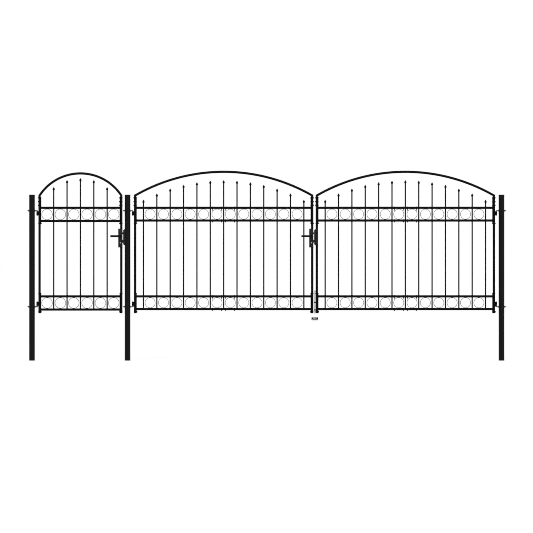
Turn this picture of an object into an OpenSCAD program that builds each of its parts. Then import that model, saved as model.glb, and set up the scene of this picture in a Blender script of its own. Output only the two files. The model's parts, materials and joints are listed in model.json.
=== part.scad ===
// Tubular steel gate set with arched tops: one pedestrian leaf and a pair of
// driveway leaves, hung on three round posts that share one row.
// Millimetres. X runs along the row, +Y is the side the leaves open to, +Z is up,
// and the origin is the centre of the middle post's foot.

/* [Posts] */
// Outside diameter of a post
post_d = 60; // [56:1:70]
// Wall of a post tube
post_wall = 2; // [1.5:0.5:3]
// Length of a post tube, with the stretch that stands in the ground
post_h = 1740; // [1720:5:1800]
// Thickness of the cap that closes a post
cap_h = 10; // [6:1:14]
// Overhang of a cap beyond the post
cap_lip = 1; // [0.5:0.5:3]

/* [Leaves] */
// Distance between the two stile axes of the pedestrian leaf
ped_leaf_w = 862; // [850:1:900]
// Distance between the two stile axes of a driveway leaf
drive_leaf_w = 1868; // [1850:1:1920]
// Outside diameter of the stile and arch tube
stile_d = 25; // [20:0.5:28]
// Wall of the stile, arch and rail tubes
tube_wall = 1.5; // [1:0.25:2]
// Height of the closed lower end of the stiles
stile_foot = 499; // [480:1:540]
// Height where the arch meets the stile axis, above the post tube's top
spring_over = 1; // [-20:1:60]
// Rise of the pedestrian arch above that height
ped_rise = 233; // [200:1:260]
// Rise of a driveway arch above that height
drive_rise = 250; // [220:1:280]

/* [Rails] */
// Height and depth of the square rail tube
rail_h = 24; // [18:1:26]
// Distance of the uppermost rail's axis below the arch's foot
top_rail_drop = 130; // [110:1:150]
// Distance of the upper rail in the lower pair above the stiles' lower end
low_rail_rise = 178; // [165:1:200]

/* [End plates] */
// Thickness of the plate behind the rail ends, beyond the stile
plate_t = 4.4; // [3:0.2:6]
// Depth of that plate
plate_depth = 30; // [26:1:36]
// Length of plate beyond the outer face of the bands' inner rails
plate_tail = 23; // [18:1:32]
// Distance of the upper plates' top below the arch's foot
plate_top_drop = 15; // [13:1:40]

/* [Pickets] */
// Diameter of a picket
picket_d = 14; // [10:0.5:16]
// Number of pickets on the pedestrian leaf
ped_pickets = 5; // [5:1:6]
// Number of pickets on a driveway leaf
drive_pickets = 13; // [12:1:14]
// Width of the pedestrian leaf's end bays as a share of the others
ped_end_share = 1.057; // [1.02:0.001:1.2]
// Width of a driveway leaf's end bays as a share of the others
drive_end_share = 0.624; // [0.5:0.001:0.8]
// Finial bulb's centre below the arch axis on the pedestrian leaf
ped_tip_drop = 72; // [66:1:90]
// Further fall of the pedestrian tips' line at the stiles
ped_tip_fall = 58; // [0:2:80]
// Finial bulb's centre below the arch axis on the driveway leaves
drive_tip_drop = 111; // [95:1:125]
// Further fall of the driveway tips' line at the stiles
drive_tip_fall = 6; // [0:1:20]
// Diameter of the finial's bulb
finial_d = 25; // [22:0.5:28]
// Height of a finial from its seat to its tip
finial_h = 34; // [30:1:44]

/* [Rings] */
// Space between a ring and a picket on the pedestrian leaf
ped_ring_gap = 6; // [4:0.5:12]
// Space between a ring and a picket on a driveway leaf
drive_ring_gap = 8.5; // [5:0.5:14]
// Thickness of the ring strip
ring_t = 4; // [3:0.5:5]
// Depth of the ring strip
ring_depth = 12; // [8:1:16]

/* [Hinges] */
// Distance from the post's face to the hinge axis
hinge_reach = 26.5; // [26:0.5:34]
// Diameter of the hinge bolts and their pins
pin_d = 10; // [8:0.5:11]
// Outside diameter of the hinge eyes
eye_d = 20; // [18:0.5:22]
// Height of a hinge eye
eye_h = 43.5; // [36:0.5:48]
// Distance of the upper hinge bolts below the uppermost rail's axis
upper_bolt_drop = 30; // [20:1:40]
// Distance of the lower hinge bolts above the stiles' lower end
lower_bolt_rise = 68.5; // [50:0.5:80]
// Width across the corners of a hinge bolt's nut
nut_d = 19; // [17:0.5:21]
// Thickness of a hinge bolt's nut
nut_h = 8; // [6:0.5:9]
// Length of bolt that shows beyond the post's far face
bolt_stub = 18; // [12:1:19]

/* [Locks] */
// Gap between a lock case and its keeper
lock_gap = 8; // [8:0.5:14]
// Width of a lock case
case_w = 44; // [42:1:50]
// Depth of a lock case
case_d = 40; // [36:1:44]
// Distance of a lock case below the pedestrian leaf's upper end plates
case_drop = 46; // [30:1:200]
// Height of the lock case
case_h = 198; // [190:1:215]
// Height of the lever's pivot above the case's lower face
lever_rise = 119; // [112:1:123]
// Length of a lever from its pivot to its tip
lever_len = 105; // [90:1:120]
// Diameter of a lever's bar
lever_d = 21; // [15:0.5:22]
// Height of the latch's axis above the case's lower face
latch_rise = 149; // [143:1:157]
// Height of the latch
latch_h = 20; // [12:1:20]
// Height of the dead bolt's middle above the case's lower face
dead_rise = 65; // [62:1:72]
// Height of the dead bolt's head
dead_h = 30; // [24:1:32]
// Height of the key cylinder's axis above the case's lower face
key_rise = 49; // [37:1:50]
// Diameter of the key cylinder's barrel
key_d = 15; // [13:0.5:15]
// Reach of the latch and the dead bolt across the gap at rest
bolt_out = 6; // [5:0.5:6]

/* [Keepers] */
// Height of a keeper's lower face above the case's lower face
keeper_rise = 23; // [12:1:32]
// Height of a keeper
keeper_h = 169; // [160:1:180]
// Depth of a keeper
keeper_d = 38; // [34:1:42]
// Reach of the pedestrian keeper from the middle post's face
post_keeper_reach = 15.5; // [14:0.5:20]
// Reach of the driveway keeper from its stile's face
stile_keeper_reach = 16; // [14:0.5:22]
// Chamfer on a keeper's two corners towards the lock
keeper_chamfer = 11; // [6:1:16]

/* [Drop bolt] */
// Diameter of the drop bolt's rod
rod_d = 12; // [10:0.5:13]
// Distance of the raised rod's lower end below the stiles' lower end
rod_drop = 11; // [2:1:22]
// Length of the rod up to its bent handle
rod_len = 250; // [230:1:270]
// Length of the bent handle
rod_handle = 34; // [24:1:44]
// Height of the upper guide's axis above the stiles' lower end
upper_guide_rise = 115; // [98:1:128]
// Height of the lower guide's axis above the stiles' lower end
lower_guide_rise = 35; // [23:1:43]
// Height of a guide
guide_h = 12; // [8:1:18]
// Diameter of a guide
guide_d = 19; // [18.5:0.5:22]

/* [Ground socket] */
// Distance of the ground below the stiles' lower end
ground_drop = 75; // [70:1:90]
// Width of the socket's plate
socket_w = 71; // [60:1:80]
// Depth of the socket's plate
socket_depth = 44; // [36:1:60]
// Thickness of the socket's plate
socket_plate_t = 6; // [4:0.5:8]
// Height of the socket above the ground
socket_h = 33; // [26:1:40]
// Diameter of the bore that takes the rod
socket_bore = 16; // [15:0.5:18]

/* [Hidden] */

$fn = 48;
// Segments of the long arches
arch_fn = 360;
// Play between a hinge pin and its eye, all round
pin_play = 0.3;
// Play between a lock bolt and its channel, on each side
bolt_play = 0.4;
// Play between a keeper's window and the bolt that enters it, on each side
window_play = 3.5;
// Play between a picket and its hole in a rail, all round
picket_play = 0.2;
// Play between the drop bolt's rod and its guides, all round
rod_play = 0.3;
// Play between a hinge bolt and its hole in the post, all round
bolt_hole_play = 0.2;
// Space left under a hinge eye
eye_rest_play = 0.3;
// Amount that a cutting shape runs past what it cuts
over = 1;
black = "#1d1e20";
zinc = "#a4a6a8";
hinge_steel = "#5c5d60";
socket_grey = "#8a8c8e";
nickel = "#c2bfb6";

stile_r = stile_d / 2;
post_r = post_d / 2;
// Distance from a hinge axis to the stile that turns about it
eye_offset = stile_r + eye_d / 2 + 1;
// Depth that the end plate and the eye's strap lap over the stile's round side
lap = 1.5;
hinge_x = post_r + hinge_reach;

ped_x1 = -(post_r + post_keeper_reach + lock_gap + stile_r);
ped_x0 = ped_x1 - ped_leaf_w;
left_x0 = hinge_x + eye_offset;
left_x1 = left_x0 + drive_leaf_w;
right_x0 = left_x1 + stile_r + lock_gap + stile_keeper_reach + stile_r;
right_x1 = right_x0 + drive_leaf_w;
left_post_x = ped_x0 - eye_offset - hinge_x;
right_post_x = right_x1 + eye_offset + hinge_x;

spring_z = post_h + spring_over;
top_rail_z = spring_z - top_rail_drop;
low_rail_z = stile_foot + low_rail_rise;
plate_top_z = spring_z - plate_top_drop;
upper_bolt_z = top_rail_z - upper_bolt_drop;
lower_bolt_z = stile_foot + lower_bolt_rise;
ground_z = stile_foot - ground_drop;
rod_foot = stile_foot - rod_drop;

// Distance between picket axes in a leaf of that width
function pitch(width, n, end_share) = width / (n - 1 + 2 * end_share);
ped_pitch = pitch(ped_leaf_w, ped_pickets, ped_end_share);
drive_pitch = pitch(drive_leaf_w, drive_pickets, drive_end_share);
// Distance between the axes of paired rails, which hold a ring between them
ped_band = ped_pitch - picket_d - 2 * ped_ring_gap + rail_h;
drive_band = drive_pitch - picket_d - 2 * drive_ring_gap + rail_h;

case_top = top_rail_z - ped_band - rail_h / 2 - plate_tail - case_drop;
case_z = case_top - case_h;
lever_z = case_z + lever_rise;
latch_z = case_z + latch_rise;
dead_z = case_z + dead_rise;
key_z = case_z + key_rise;
keeper_z = case_z + keeper_rise;
keeper_top = keeper_z + keeper_h;
// Lock parts measured from the axis of the stile that carries the case
case_x0 = stile_r - case_w;
// Bevel on the upright edges of a lock case
case_ease = 2;
lever_x = -10;
key_x = -8;
bolt_tail = -20;
spindle_d = 9;
latch_depth = 12;
dead_depth = 10;
latch_slant = 7;
// Travel of the latch as the lever turns, and of the dead bolt as the key turns
latch_travel = bolt_out;
dead_travel = 11;
// Back of the dead bolt's head and foot of its tail, which pass clear of the key cylinder
key_clear = 1.5;
head_x0 = key_x + key_d / 2 + key_clear;
tail_foot = max(key_z + key_d / 2 + key_clear, dead_z - dead_h / 2);
// Lever bar's axis in front of the case's face
lever_out = 26;
lever_boss_d = lever_d + 2;
lever_gap = 1;
key_fin = 10;
key_drop = 16;
key_out = 3;

// Space between the rod and the stile beside it
rod_gap = 2.5;
rod_x = right_x0 - stile_r - rod_d / 2 - rod_gap;
upper_eye_top = upper_bolt_z - pin_d / 2 - 1.5;
lower_eye_foot = lower_bolt_z + pin_d / 2 + 4;
pin_tail = 4;
collar_d = 18;

// Radius of an arch over two stile axes
function arch_r(x0, x1, rise) = (pow((x1 - x0) / 2, 2) + rise * rise) / (2 * rise);
// Height of an arch's axis at one place along the leaf
function arch_z(x, x0, x1, rise) =
    let (r = arch_r(x0, x1, rise))
    spring_z + rise - r + sqrt(r * r - pow(x - (x0 + x1) / 2, 2));
// Angle of an arch's tangent above the level where it meets a stile
function spring_angle(x0, x1, rise) = asin((x1 - x0) / 2 / arch_r(x0, x1, rise));
// Places of the pickets along a leaf
function picket_x(x0, x1, n, end_share) =
    [for (i = [0 : n - 1]) x0 + (i + end_share) * pitch(x1 - x0, n, end_share)];
// Heights of a leaf's four rails, from the lowest up
function rail_z(band) = [low_rail_z - band, low_rail_z, top_rail_z - band, top_rail_z];
// Distance from a stile's axis to the inner face of its end plate
plate_face = stile_r + plate_t;

module tube_up(d, wall, z0, z1) {
    translate([0, 0, z0])
        difference() {
            cylinder(d = d, h = z1 - z0);
            translate([0, 0, -over]) cylinder(d = d - 2 * wall, h = z1 - z0 + 2 * over);
        }
}

// Half-space on one side of the mitre between a stile and the arch, side -1 below and 1 above
module mitre_block(x, angle, hand, side) {
    size = 4 * stile_d;
    translate([x, 0, spring_z])
        rotate([0, hand > 0 ? -angle : angle - 180, 0])
            translate([side > 0 ? 0 : -size, -size / 2, -size / 2])
                cube(size);
}

module leaf_arch(x0, x1, rise) {
    r = arch_r(x0, x1, rise);
    a = spring_angle(x0, x1, rise);
    // Angle of arc beyond the mitre point, which the mitre trims
    spare = stile_d / r * 180 / PI;
    tilt = (90 + a) / 2;
    difference() {
        translate([(x0 + x1) / 2, 0, spring_z + rise - r])
            rotate([90, 0, 0])
                rotate([0, 0, 90 - a - spare])
                    rotate_extrude(angle = 2 * (a + spare), $fn = arch_fn)
                        translate([r, 0])
                            difference() {
                                circle(d = stile_d);
                                circle(d = stile_d - 2 * tube_wall);
                            }
        mitre_block(x0, tilt, 1, -1);
        mitre_block(x1, tilt, -1, -1);
    }
}

// One stile from its closed foot to the mitre, or its two lengths around a box in its line
module stile(x, hand, tilt, box_z0, box_z1) {
    top = spring_z + stile_d;
    has_box = box_z1 > box_z0;
    difference() {
        translate([x, 0, 0]) {
            tube_up(stile_d, tube_wall, stile_foot, has_box ? box_z0 : top);
            translate([0, 0, stile_foot]) cylinder(d = stile_d, h = 2 * tube_wall);
            if (has_box) tube_up(stile_d, tube_wall, box_z1, top);
        }
        mitre_block(x, tilt, hand, 1);
    }
}

// Plates behind the rail ends of one leaf, hollowed to sit on the round stiles
module leaf_end_plates(x0, x1, band) {
    levels = [
        [stile_foot + 2, low_rail_z + rail_h / 2 + plate_tail],
        [top_rail_z - band - rail_h / 2 - plate_tail, plate_top_z]
    ];
    for (x = [x0, x1], level = levels)
        difference() {
            translate([x == x0 ? x + stile_r - lap : x - plate_face, -plate_depth / 2, level[0]])
                cube([plate_t + lap, plate_depth, level[1] - level[0]]);
            translate([x, 0, level[0] - over])
                cylinder(d = stile_d, h = level[1] - level[0] + 2 * over);
        }
}

module leaf_rails(x0, x1, band, n, end_share) {
    levels = rail_z(band);
    length = x1 - x0 - 2 * plate_face;
    inner = rail_h - 2 * tube_wall;
    for (i = [0 : len(levels) - 1])
        translate([x0 + plate_face, 0, levels[i]])
            difference() {
                translate([0, -rail_h / 2, -rail_h / 2]) cube([length, rail_h, rail_h]);
                translate([-over, -inner / 2, -inner / 2]) cube([length + 2 * over, inner, inner]);
                for (x = picket_x(x0, x1, n, end_share))
                    translate([x - x0 - plate_face, 0, i == 0 ? 0 : -rail_h])
                        cylinder(d = picket_d + 2 * picket_play, h = 2 * rail_h);
            }
}

// Height of a finial's seat on its picket
function picket_top(x, x0, x1, rise, drop, fall) =
    arch_z(x, x0, x1, rise) - drop - fall * pow((2 * x - x0 - x1) / (x1 - x0), 4) - finial_seat;
finial_seat = sqrt(pow(finial_d / 2, 2) - pow(picket_d / 2 + 0.3, 2));

module leaf_pickets(x0, x1, band, n, end_share, rise, drop, fall) {
    foot = low_rail_z - band - rail_h / 2 + tube_wall;
    for (x = picket_x(x0, x1, n, end_share))
        translate([x, 0, foot])
            cylinder(d = picket_d, h = picket_top(x, x0, x1, rise, drop, fall) - foot);
}

// Bulb with a pointed tip, flat where it sits on a picket
module finial() {
    bulb_r = finial_d / 2;
    tip_r = 0.8;
    // Apex of the cone that touches the bulb all round, above the bulb's centre
    apex = finial_h - finial_seat + 2;
    touch_z = bulb_r * bulb_r / apex;
    touch_r = bulb_r * sqrt(1 - pow(bulb_r / apex, 2));
    difference() {
        union() {
            translate([0, 0, finial_seat]) sphere(r = bulb_r);
            translate([0, 0, finial_seat + touch_z])
                cylinder(r1 = touch_r, r2 = tip_r, h = finial_h - finial_seat - touch_z);
        }
        translate([-finial_d, -finial_d, -2 * finial_d]) cube(2 * finial_d);
    }
}

module leaf_finials(x0, x1, n, end_share, rise, drop, fall) {
    for (x = picket_x(x0, x1, n, end_share))
        translate([x, 0, picket_top(x, x0, x1, rise, drop, fall)]) finial();
}

// Ring of flat strip, with a small flat above and below where it meets the rails
module ring(x, z, gap) {
    flat = 0.4;
    translate([x, ring_depth / 2, z])
        intersection() {
            rotate([90, 0, 0])
                difference() {
                    cylinder(d = gap + 2 * flat, h = ring_depth, $fn = 96);
                    translate([0, 0, -over])
                        cylinder(d = gap + 2 * flat - 2 * ring_t, h = ring_depth + 2 * over, $fn = 96);
                }
            translate([-gap, -2 * ring_depth, -gap / 2]) cube([2 * gap, 4 * ring_depth, gap]);
        }
}

// Rings of one leaf, in the bays between pickets and, where asked, in the end bays too
module leaf_rings(x0, x1, band, n, end_share, end_bays) {
    xs = picket_x(x0, x1, n, end_share);
    mids = [for (i = [0 : n - 2]) (xs[i] + xs[i + 1]) / 2];
    ends = end_bays ? [
        (x0 + plate_face + xs[0] - picket_d / 2) / 2,
        (x1 - plate_face + xs[n - 1] + picket_d / 2) / 2
    ] : [];
    for (x = concat(mids, ends), z = [low_rail_z - band / 2, top_rail_z - band / 2])
        ring(x, z, band - rail_h);
}

// Two eyes welded to the stile at stile_x, bored on the hinge axis at pin_x
module leaf_hinge_eyes(stile_x, pin_x) {
    strap_w = 10;
    for (z = [lower_eye_foot, upper_eye_top - eye_h])
        difference() {
            translate([0, 0, z]) {
                translate([pin_x, 0, 0]) cylinder(d = eye_d, h = eye_h);
                translate([min(stile_x, pin_x), -strap_w / 2, 0])
                    cube([abs(stile_x - pin_x), strap_w, eye_h]);
            }
            translate([pin_x, 0, z - over])
                cylinder(d = pin_d + 2 * pin_play, h = eye_h + 2 * over);
            translate([stile_x, 0, z - over]) cylinder(d = stile_d, h = eye_h + 2 * over);
        }
}

// Post tube with a hole right through for each hinge bolt
module post(x) {
    translate([x, 0, 0])
        difference() {
            tube_up(post_d, post_wall, 0, post_h);
            for (z = [lower_bolt_z, upper_bolt_z])
                translate([-post_d, 0, z])
                    rotate([0, 90, 0]) cylinder(d = pin_d + 2 * bolt_hole_play, h = 2 * post_d);
        }
}

// Nut on a hinge bolt, hollowed to sit on the round post
module post_nut(hand) {
    bite = 2;
    difference() {
        rotate([0, hand * 90, 0])
            translate([0, 0, post_r - bite])
                cylinder(d = nut_d, h = nut_h + bite, $fn = 6);
        translate([0, 0, -nut_d]) cylinder(d = post_d, h = 2 * nut_d);
    }
}

// Bent bolt through a post: hand is the side of the leaf, up is the way its pin points
module hinge_bolt(hand, up) {
    far = post_r + bolt_stub;
    eye_gap = up > 0 ? 4 : 1.5;
    pin_len = pin_d / 2 + eye_gap + eye_h + pin_tail;
    translate([hand > 0 ? -far : -hinge_x, 0, 0])
        rotate([0, 90, 0]) cylinder(d = pin_d, h = far + hinge_x);
    translate([hand * hinge_x, 0, 0]) {
        sphere(d = pin_d);
        rotate([up > 0 ? 0 : 180, 0, 0]) cylinder(d = pin_d, h = pin_len);
        if (up > 0) cylinder(d = collar_d, h = pin_d / 2 + eye_gap - eye_rest_play);
    }
    post_nut(1);
    post_nut(-1);
}

// Lock case in the line of its stile, with channels for its bolts, spindle and cylinder
module lock_case(x) {
    latch_room = latch_h + 2 * bolt_play;
    latch_wide = latch_depth + 2 * bolt_play;
    latch_back = bolt_tail - latch_travel - 1;
    color(black)
        difference() {
            translate([x + case_x0, -case_d / 2, case_z])
                linear_extrude(case_h)
                    polygon([
                        [case_ease, 0], [case_w - case_ease, 0], [case_w, case_ease],
                        [case_w, case_d - case_ease], [case_w - case_ease, case_d],
                        [case_ease, case_d], [0, case_d - case_ease], [0, case_ease]
                    ]);
            translate([x + latch_back, -latch_wide / 2, latch_z - latch_room / 2])
                cube([case_w, latch_wide, latch_room]);
            dead_bolt_form(x, bolt_play, dead_travel);
            translate([x + lever_x, case_d, lever_z])
                rotate([90, 0, 0]) cylinder(d = spindle_d + 2 * bolt_play, h = 2 * case_d);
            key_form(x, 2 * case_d);
        }
}

// Barrel and fin of the key cylinder, standing through the case
module key_form(x, length) {
    translate([x + key_x, length / 2, key_z])
        rotate([90, 0, 0]) cylinder(d = key_d, h = length);
    translate([x + key_x - key_fin / 2, -length / 2, key_z - key_drop])
        cube([key_fin, length, key_drop]);
}

module key_cylinder(x) {
    color(nickel) key_form(x, case_d + 2 * key_out);
}

// Spindle with a lever on each side of the case, pointing away from the keeper
module lever(x) {
    bar_y = case_d / 2 + lever_out;
    color(black)
        translate([x + lever_x, 0, lever_z]) {
            translate([0, bar_y, 0]) rotate([90, 0, 0]) cylinder(d = spindle_d, h = 2 * bar_y);
            for (side = [-1, 1]) {
                translate([0, side > 0 ? bar_y : -case_d / 2 - lever_gap, 0])
                    rotate([90, 0, 0]) cylinder(d = lever_boss_d, h = lever_out - lever_gap);
                translate([lever_d / 2 - lever_len, side * bar_y, 0])
                    rotate([0, 90, 0]) cylinder(d = lever_d, h = lever_len - lever_d / 2);
                translate([0, side * bar_y, 0]) sphere(d = lever_boss_d);
                translate([lever_d / 2 - lever_len, side * bar_y, 0]) sphere(d = lever_d);
            }
        }
}

// Latch with a nose slanted on the side that leads as the leaf closes
module latch(x) {
    nose = stile_r + bolt_out - bolt_tail;
    half = latch_depth / 2;
    color(black)
        translate([x + bolt_tail, 0, latch_z - latch_h / 2])
            linear_extrude(latch_h)
                polygon([
                    [0, -half], [nose - latch_slant, -half], [nose, half - 4], [nose, half], [0, half]
                ]);
}

// Tall head and lower tail of the dead bolt, grown by a play and lengthened at the nose
module dead_bolt_form(x, play, longer) {
    nose = stile_r + bolt_out + longer;
    wide = dead_depth + 2 * play;
    top = dead_z + dead_h / 2 + play;
    head_foot = dead_z - dead_h / 2 - play;
    translate([x + bolt_tail - play, -wide / 2, tail_foot - play])
        cube([nose - bolt_tail + play, wide, top - tail_foot + play]);
    translate([x + head_x0 - play, -wide / 2, head_foot])
        cube([nose - head_x0 + play, wide, top - head_foot]);
}

module dead_bolt(x) {
    color(black) dead_bolt_form(x, 0, 0);
}

// Keeper block from its lock-side face back along X, with a window for each bolt
module keeper_block(face_x, length, window_depth) {
    latch_w = latch_depth + 2 * window_play;
    dead_w = dead_depth + 2 * window_play;
    latch_tall = latch_h + 2 * window_play;
    dead_tall = dead_h + 2 * window_play;
    difference() {
        translate([face_x, keeper_d / 2, keeper_z])
            rotate([90, 0, 0])
                linear_extrude(keeper_d)
                    polygon([
                        [0, keeper_chamfer], [keeper_chamfer, 0], [length, 0],
                        [length, keeper_h], [keeper_chamfer, keeper_h],
                        [0, keeper_h - keeper_chamfer]
                    ]);
        translate([face_x - over, -latch_w / 2, latch_z - latch_tall / 2])
            cube([window_depth + over, latch_w, latch_tall]);
        translate([face_x - over, -dead_w / 2, dead_z - dead_tall / 2])
            cube([window_depth + over, dead_w, dead_tall]);
    }
}

module left_post() { color(black) post(left_post_x); }
module centre_post() { color(black) post(0); }
module right_post() { color(black) post(right_post_x); }

// Caps with a plug that fits the tube
module post_caps() {
    plug_h = 20;
    plug_play = 0.1;
    color(black)
        for (x = [left_post_x, 0, right_post_x])
            translate([x, 0, post_h]) {
                cylinder(d = post_d + 2 * cap_lip, h = cap_h);
                translate([0, 0, -plug_h])
                    cylinder(d = post_d - 2 * post_wall - 2 * plug_play, h = plug_h);
            }
}

module hinge_bolts() {
    color(hinge_steel)
        for (place = [[left_post_x, 1], [0, 1], [right_post_x, -1]])
            translate([place[0], 0, 0]) {
                translate([0, 0, lower_bolt_z]) hinge_bolt(place[1], 1);
                translate([0, 0, upper_bolt_z]) hinge_bolt(place[1], -1);
            }
}

// Keeper on the middle post, hollowed to sit on its round face
module pedestrian_keeper() {
    color(black)
        difference() {
            keeper_block(-post_r - post_keeper_reach, post_r + post_keeper_reach, post_d);
            translate([0, 0, keeper_z - over]) cylinder(d = post_d, h = keeper_h + 2 * over);
        }
}

// Plate on the ground with a raised middle that is bored for the rod
module ground_socket() {
    middle_w = 28;
    color(socket_grey)
        translate([rod_x, 0, ground_z])
            difference() {
                union() {
                    translate([-socket_w / 2, -socket_depth / 2, 0])
                        cube([socket_w, socket_depth, socket_plate_t]);
                    cylinder(d = middle_w, h = socket_h);
                }
                translate([0, 0, socket_plate_t]) cylinder(d = socket_bore, h = socket_h);
            }
}

// Dark stops on the socket's plate, one on each side of its middle
module socket_shoulders() {
    shoulder_w = 20;
    color(black)
        for (side = [-1, 1])
            translate([rod_x + side * (socket_w - shoulder_w) / 2, 0, ground_z + socket_plate_t])
                cylinder(d = shoulder_w, h = socket_h - socket_plate_t - 1);
}

module pedestrian_arch() { color(black) leaf_arch(ped_x0, ped_x1, ped_rise); }

module pedestrian_stiles() {
    tilt = (90 + spring_angle(ped_x0, ped_x1, ped_rise)) / 2;
    color(black) {
        stile(ped_x0, 1, tilt, 0, 0);
        stile(ped_x1, -1, tilt, case_z, case_top);
    }
}

module pedestrian_end_plates() { color(black) leaf_end_plates(ped_x0, ped_x1, ped_band); }

module pedestrian_rails() {
    color(black)
        leaf_rails(ped_x0, ped_x1, ped_band, ped_pickets, ped_end_share);
}

module pedestrian_pickets() {
    color(black)
        leaf_pickets(ped_x0, ped_x1, ped_band, ped_pickets, ped_end_share,
            ped_rise, ped_tip_drop, ped_tip_fall);
}

module pedestrian_finials() {
    color(black)
        leaf_finials(ped_x0, ped_x1, ped_pickets, ped_end_share,
            ped_rise, ped_tip_drop, ped_tip_fall);
}

module pedestrian_rings() {
    color(black) leaf_rings(ped_x0, ped_x1, ped_band, ped_pickets, ped_end_share, true);
}

module pedestrian_hinge_eyes() { color(black) leaf_hinge_eyes(ped_x0, left_post_x + hinge_x); }

module pedestrian_lock_case() { lock_case(ped_x1); }
module pedestrian_key_cylinder() { key_cylinder(ped_x1); }
module pedestrian_lever() { lever(ped_x1); }
module pedestrian_latch() { latch(ped_x1); }
module pedestrian_dead_bolt() { dead_bolt(ped_x1); }

module left_arch() { color(black) leaf_arch(left_x0, left_x1, drive_rise); }

module left_stiles() {
    tilt = (90 + spring_angle(left_x0, left_x1, drive_rise)) / 2;
    color(black) {
        stile(left_x0, 1, tilt, 0, 0);
        stile(left_x1, -1, tilt, case_z, case_top);
    }
}

module left_end_plates() { color(black) leaf_end_plates(left_x0, left_x1, drive_band); }

module left_rails() {
    color(black)
        leaf_rails(left_x0, left_x1, drive_band, drive_pickets, drive_end_share);
}

module left_pickets() {
    color(black)
        leaf_pickets(left_x0, left_x1, drive_band, drive_pickets, drive_end_share,
            drive_rise, drive_tip_drop, drive_tip_fall);
}

module left_finials() {
    color(black)
        leaf_finials(left_x0, left_x1, drive_pickets, drive_end_share,
            drive_rise, drive_tip_drop, drive_tip_fall);
}

module left_rings() {
    color(black)
        leaf_rings(left_x0, left_x1, drive_band, drive_pickets, drive_end_share, false);
}

module left_hinge_eyes() { color(black) leaf_hinge_eyes(left_x0, hinge_x); }

module driveway_lock_case() { lock_case(left_x1); }
module driveway_key_cylinder() { key_cylinder(left_x1); }
module driveway_lever() { lever(left_x1); }
module driveway_latch() { latch(left_x1); }
module driveway_dead_bolt() { dead_bolt(left_x1); }

module right_arch() { color(black) leaf_arch(right_x0, right_x1, drive_rise); }

module right_stiles() {
    tilt = (90 + spring_angle(right_x0, right_x1, drive_rise)) / 2;
    color(black) {
        stile(right_x0, 1, tilt, keeper_z, keeper_top);
        stile(right_x1, -1, tilt, 0, 0);
    }
}

module right_end_plates() { color(black) leaf_end_plates(right_x0, right_x1, drive_band); }

module right_rails() {
    color(black)
        leaf_rails(right_x0, right_x1, drive_band, drive_pickets, drive_end_share);
}

module right_pickets() {
    color(black)
        leaf_pickets(right_x0, right_x1, drive_band, drive_pickets, drive_end_share,
            drive_rise, drive_tip_drop, drive_tip_fall);
}

module right_finials() {
    color(black)
        leaf_finials(right_x0, right_x1, drive_pickets, drive_end_share,
            drive_rise, drive_tip_drop, drive_tip_fall);
}

module right_rings() {
    color(black)
        leaf_rings(right_x0, right_x1, drive_band, drive_pickets, drive_end_share, false);
}

module right_hinge_eyes() { color(black) leaf_hinge_eyes(right_x1, right_post_x - hinge_x); }

// Keeper in the line of the right leaf's meeting stile
module driveway_keeper() {
    length = stile_keeper_reach + stile_d;
    back_wall = 3;
    color(black)
        keeper_block(right_x0 - stile_r - stile_keeper_reach, length, length - back_wall);
}

// Guides welded to the right leaf's meeting stile, bored for the rod
module drop_bolt_guides() {
    color(black)
        for (z = [stile_foot + upper_guide_rise, stile_foot + lower_guide_rise])
            difference() {
                translate([rod_x, 0, z - guide_h / 2]) cylinder(d = guide_d, h = guide_h);
                translate([rod_x, 0, z - guide_h])
                    cylinder(d = rod_d + 2 * rod_play, h = 2 * guide_h);
                translate([right_x0, 0, z - guide_h]) cylinder(d = stile_d, h = 2 * guide_h);
            }
}

// Rod with a handle bent to the front and a blunt point
module drop_bolt() {
    point_h = 14;
    point_d = 7;
    top = rod_foot + rod_len - rod_d / 2;
    color(zinc)
        translate([rod_x, 0, 0]) {
            translate([0, 0, rod_foot]) cylinder(d1 = point_d, d2 = rod_d, h = point_h);
            translate([0, 0, rod_foot + point_h])
                cylinder(d = rod_d, h = top - rod_foot - point_h);
            translate([0, 0, top]) {
                sphere(d = rod_d);
                rotate([90, 0, 0]) cylinder(d = rod_d, h = rod_handle);
            }
        }
}

left_post();
centre_post();
right_post();
post_caps();
hinge_bolts();
pedestrian_keeper();
ground_socket();
socket_shoulders();
pedestrian_arch();
pedestrian_stiles();
pedestrian_end_plates();
pedestrian_rails();
pedestrian_pickets();
pedestrian_finials();
pedestrian_rings();
pedestrian_hinge_eyes();
pedestrian_lock_case();
pedestrian_key_cylinder();
pedestrian_lever();
pedestrian_latch();
pedestrian_dead_bolt();
left_arch();
left_stiles();
left_end_plates();
left_rails();
left_pickets();
left_finials();
left_rings();
left_hinge_eyes();
driveway_lock_case();
driveway_key_cylinder();
driveway_lever();
driveway_latch();
driveway_dead_bolt();
right_arch();
right_stiles();
right_end_plates();
right_rails();
right_pickets();
right_finials();
right_rings();
right_hinge_eyes();
driveway_keeper();
drop_bolt_guides();
drop_bolt();
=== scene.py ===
"""Looks of the arched gate set: finishes on the solids, bolts, welds, threads, caps and lock fittings.

Metres, in the frame of the solids: X along the row, +Y the side the leaves open to, Z up.
"""
import json
import math

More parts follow.
